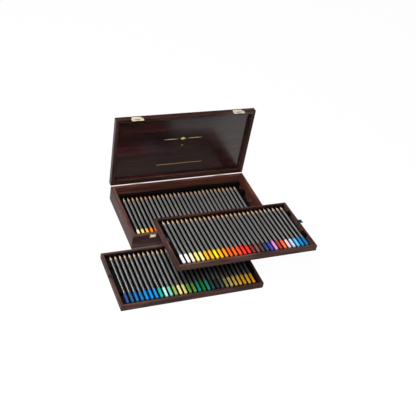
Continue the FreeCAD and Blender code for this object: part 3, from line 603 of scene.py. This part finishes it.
# Nitrocellulose lacquer in many coats, drawn on through felt rings, so it gleams in one line
# along the pencil. The line is drawn stronger than real, to show from far off. The coats' slight
# unevenness is about 1 mm across.
black_lacquer, tree = new_material("black_pencil_lacquer")
place = add(tree, "ShaderNodeTexCoord")
peel = add(tree, "ShaderNodeTexNoise", Scale=900.0, Detail=1.0,
           links={"Vector": place.outputs["Object"]})
dent = add(tree, "ShaderNodeBump", Strength=0.2, Distance=0.00003,
           links={"Height": peel.outputs[0]})
lengthways = add(tree, "ShaderNodeCombineXYZ", Y=1.0)
shader = add(tree, "ShaderNodeBsdfPrincipled", Base_Color=linear("#050506"), Roughness=0.40,
             IOR=5.0, Anisotropic=0.97,
             links={"Normal": dent.outputs[0], "Tangent": lengthways.outputs[0]})
add(tree, "ShaderNodeOutputMaterial", links={"Surface": shader.outputs[0]})

# Foil rolled on hot between the two lacquers: a thin dull bronze line.
bronze_ring, tree = new_material("bronze_foil_ring")
shader = add(tree, "ShaderNodeBsdfPrincipled", Base_Color=linear("#9A6046"), Metallic=0.6,
             Roughness=0.35)
add(tree, "ShaderNodeOutputMaterial", links={"Surface": shader.outputs[0]})

# Freshly cut cedar, pale and dry, with short streaks 0.3 mm across and 6 mm long.
cedar, tree = new_material("bare_cedar")
place = add(tree, "ShaderNodeTexCoord")
drawn = add(tree, "ShaderNodeMapping", links={"Vector": place.outputs["Object"]})
drawn.inputs["Scale"].default_value = (3000.0, 160.0, 3000.0)
streak = add(tree, "ShaderNodeTexNoise", Scale=1.0, Detail=2.0,
             links={"Vector": drawn.outputs[0]})
tint = add(tree, "ShaderNodeValToRGB", links={"Fac": streak.outputs[0]})
tint.color_ramp.elements[0].position, tint.color_ramp.elements[0].color = 0.35, linear("#C99468")
tint.color_ramp.elements[1].position, tint.color_ramp.elements[1].color = 0.65, linear("#EBC69A")
shader = add(tree, "ShaderNodeBsdfPrincipled", Roughness=0.65,
             links={"Base Color": tint.outputs[0]})
add(tree, "ShaderNodeOutputMaterial", links={"Surface": shader.outputs[0]})

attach(pencil_row("base_pencil_row", "base_pencils", case_seat, BASE_ROW), "case")
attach(pencil_row("upper_pencil_row", "upper_pencils", upper_seat, UPPER_ROW), "upper_tray")
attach(pencil_row("lower_pencil_row", "lower_pencils", lower_seat, LOWER_ROW), "lower_tray")


# --- Ribbon tabs -----------------------------------------------------------------------------
# Black ribbed ribbon, gripped between each insert and the end wall, to lift the row or tray
# by. Two tabs hang out over their tray's rim and the rest are folded in over themselves.
RIBBON_THICKNESS = 0.0008


def smooth_path(corners, steps=9):
    """A Catmull-Rom curve through the corners, which repeats its first and last one."""
    keys = np.array([corners[0], *corners, corners[-1]], float)
    a, b, c, d = (keys[i:len(keys) - 3 + i, None, :] for i in range(4))
    t = np.linspace(0, 1, steps, endpoint=False)[None, :, None]
    curve = 0.5 * (2 * b + (c - a) * t + (2 * a - 5 * b + 4 * c - d) * t ** 2
                   + (3 * b - a - 3 * c + d) * t ** 3)
    return np.concatenate([curve.reshape(-1, keys.shape[1]), keys[-1:]])


def strap(name, node, seat, corners, side):
    """A flat ribbon along a curve in the XZ plane: a thin section with rounded long edges.

    Each section is set square to the curve by its normal; the corners are given for the right
    side, measured from the box's middle, and the left side is their mirror image.
    """
    low, high = limits(node, seat)
    middle, half = (low[1] + high[1]) / 2, (high[1] - low[1]) / 2
    path = smooth_path(corners) * (side, 1)
    run = np.gradient(path, axis=0)
    normal = np.stack([-run[:, 1], run[:, 0]], axis=-1)
    normal /= np.linalg.norm(normal, axis=1)[:, None]
    thick = RIBBON_THICKNESS / 2
    section = np.array([(-thick, -half + thick), (-thick, 0), (-thick, half - thick),
                        (-0.5 * thick, half), (0.5 * thick, half),
                        (thick, half - thick), (thick, 0), (thick, -half + thick),
                        (0.5 * thick, -half), (-0.5 * thick, -half)])
    flat = path[:, None, :] + normal[:, None, :] * section[None, :, :1]
    along = np.broadcast_to(section[None, :, 1:] + middle, flat.shape[:2] + (1,))
    points = np.concatenate([flat[..., :1], along, flat[..., 1:]], axis=-1).reshape(-1, 3)
    faces = grid_faces(len(path), len(section), round_columns=True)[:, ::-side].tolist()
    first = list(range(len(section)))
    last = [len(points) - len(section) + i for i in first]
    tab = piece(name, points, faces + [first[::side], last[::-side]], [ribbed_ribbon], seat)
    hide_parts(node)
    return tab


def tab_over_rim(seat, node):
    """The corners of a tab that comes up the inner wall and lies out over the rim."""
    low, high = limits(node, seat)
    inner, outer = sorted(np.abs((low[0], high[0])))
    wall = inner + RIBBON_THICKNESS / 2
    rim = high[2] - RIBBON_THICKNESS / 2
    return [(wall, low[2]), (wall, rim - 0.0040), (wall, rim - 0.0013), (wall + 0.0011, rim),
            (wall + 0.0050, rim + 0.0002), (outer - 0.0030, rim), (outer - 0.0004, rim - 0.0014)]


def tab_tucked_in(seat, node):
    """The corners of a tab that stands up the inner wall and curls in over itself."""
    low, high = limits(node, seat)
    wall = max(abs(low[0]), abs(high[0])) - RIBBON_THICKNESS / 2
    crown = high[2] - RIBBON_THICKNESS / 2
    return [(wall, low[2]), (wall, crown - 0.0045), (wall - 0.0008, crown - 0.0012),
            (wall - 0.0030, crown), (wall - 0.0052, crown - 0.0016),
            (wall - 0.0058, crown - 0.0050), (wall - 0.0048, crown - 0.0085)]


# Ribs of the weave run across the ribbon, 0.5 mm apart, and catch the light as a soft sheen.
ribbed_ribbon, tree = new_material("black_ribbed_ribbon")
place = add(tree, "ShaderNodeTexCoord")
ribs = add(tree, "ShaderNodeTexWave", wave_type="BANDS", bands_direction="Z", Scale=320.0,
           Distortion=0.4, links={"Vector": place.outputs["Object"]})
dent = add(tree, "ShaderNodeBump", Strength=0.5, Distance=0.00012,
           links={"Height": ribs.outputs[0]})
shader = add(tree, "ShaderNodeBsdfPrincipled", Base_Color=linear("#141415"), Roughness=0.42,
             Sheen_Weight=0.25, Sheen_Roughness=0.4, links={"Normal": dent.outputs[0]})
add(tree, "ShaderNodeOutputMaterial", links={"Surface": shader.outputs[0]})

TABS = (("base", "left", tab_tucked_in), ("base", "right", tab_tucked_in),
        ("upper", "left", tab_tucked_in), ("upper", "right", tab_over_rim),
        ("lower", "left", tab_over_rim), ("lower", "right", tab_tucked_in))
SEATS = {"base": (case_seat, "case"), "upper": (upper_seat, "upper_tray"),
         "lower": (lower_seat, "lower_tray")}
for row, side, shape in TABS:
    seat, body = SEATS[row]
    node = row + "_ribbon_" + side
    sign = -1 if side == "left" else 1
    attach(strap(row + "_tab_" + side, node, seat, shape(seat, node), sign), body)


# --- Gold foil in the lid --------------------------------------------------------------------
# A thin rule and a plain lozenge between two tapered strokes, hot-stamped in gold foil on the
# lid's panel. They stand where a maker may put a name.
FOIL_LIFT = 0.00003         # of the foil's middle over the panel
FOIL_THICKNESS = 0.00002
ORNAMENT_Z = 0.1840
FOIL_SHAPES = (             # middle x and z, half length, half height, fullness
    ("gold_rule", 0.0, 0.0965, 0.0705, 0.0004, 0.0),
    ("gold_lozenge", 0.0, ORNAMENT_Z, 0.0090, 0.0052, 1.0),
    ("gold_stroke_left", -0.0365, ORNAMENT_Z, 0.0235, 0.0011, 0.6),
    ("gold_stroke_right", 0.0365, ORNAMENT_Z, 0.0235, 0.0011, 0.6),
    ("gold_point", 0.0, 0.1610, 0.0040, 0.0014, 1.0),
)


def foil_shape(name, middle_x, middle_z, half_length, half_height, fullness):
    """A flat foil shape whose height falls off to both ends.

    At a share s of the way to an end its height is (1 - s) to the power of its fullness, so 0
    gives a bar, 1 a lozenge and a value between them a tapered stroke.
    """
    panel_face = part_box("lid_panel")[0][1]
    share = np.linspace(-1, 1, 33)
    height = half_height * np.clip(1 - np.abs(share), 0.02, 1) ** fullness
    x = middle_x + half_length * share
    y = np.full_like(x, panel_face - FOIL_LIFT)
    rows = [np.stack([x, y, middle_z + sign * height], axis=-1) for sign in (-1, 1)]
    foil = piece(name, np.concatenate(rows), grid_faces(2, len(share)).tolist(), [gold_foil])
    skin = foil.modifiers.new("thickness", "SOLIDIFY")
    skin.thickness, skin.offset = FOIL_THICKNESS, 0.0
    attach(foil, "lid")


# Stamped foil is a bright skin, a little broken by the grain under it. It is coloured as it
# looks under a broad light, because a true mirror of gold would go dark in this studio.
gold_foil, tree = new_material("stamped_gold_foil")
place = add(tree, "ShaderNodeTexCoord")
grain = add(tree, "ShaderNodeTexNoise", Scale=1500.0, Detail=2.0,
            links={"Vector": place.outputs["Object"]})
gloss = add(tree, "ShaderNodeMapRange", links={"Value": grain.outputs[0]},
            From_Min=0.3, From_Max=0.7, To_Min=0.35, To_Max=0.55)
shader = add(tree, "ShaderNodeBsdfPrincipled", Base_Color=linear("#FFD882"), Metallic=0.0,
             links={"Roughness": gloss.outputs[0]})
add(tree, "ShaderNodeOutputMaterial", links={"Surface": shader.outputs[0]})

for shape in FOIL_SHAPES:
    foil_shape(*shape)


# --- View transform --------------------------------------------------------------------------
bpy.context.scene.view_settings.view_transform = "Standard"
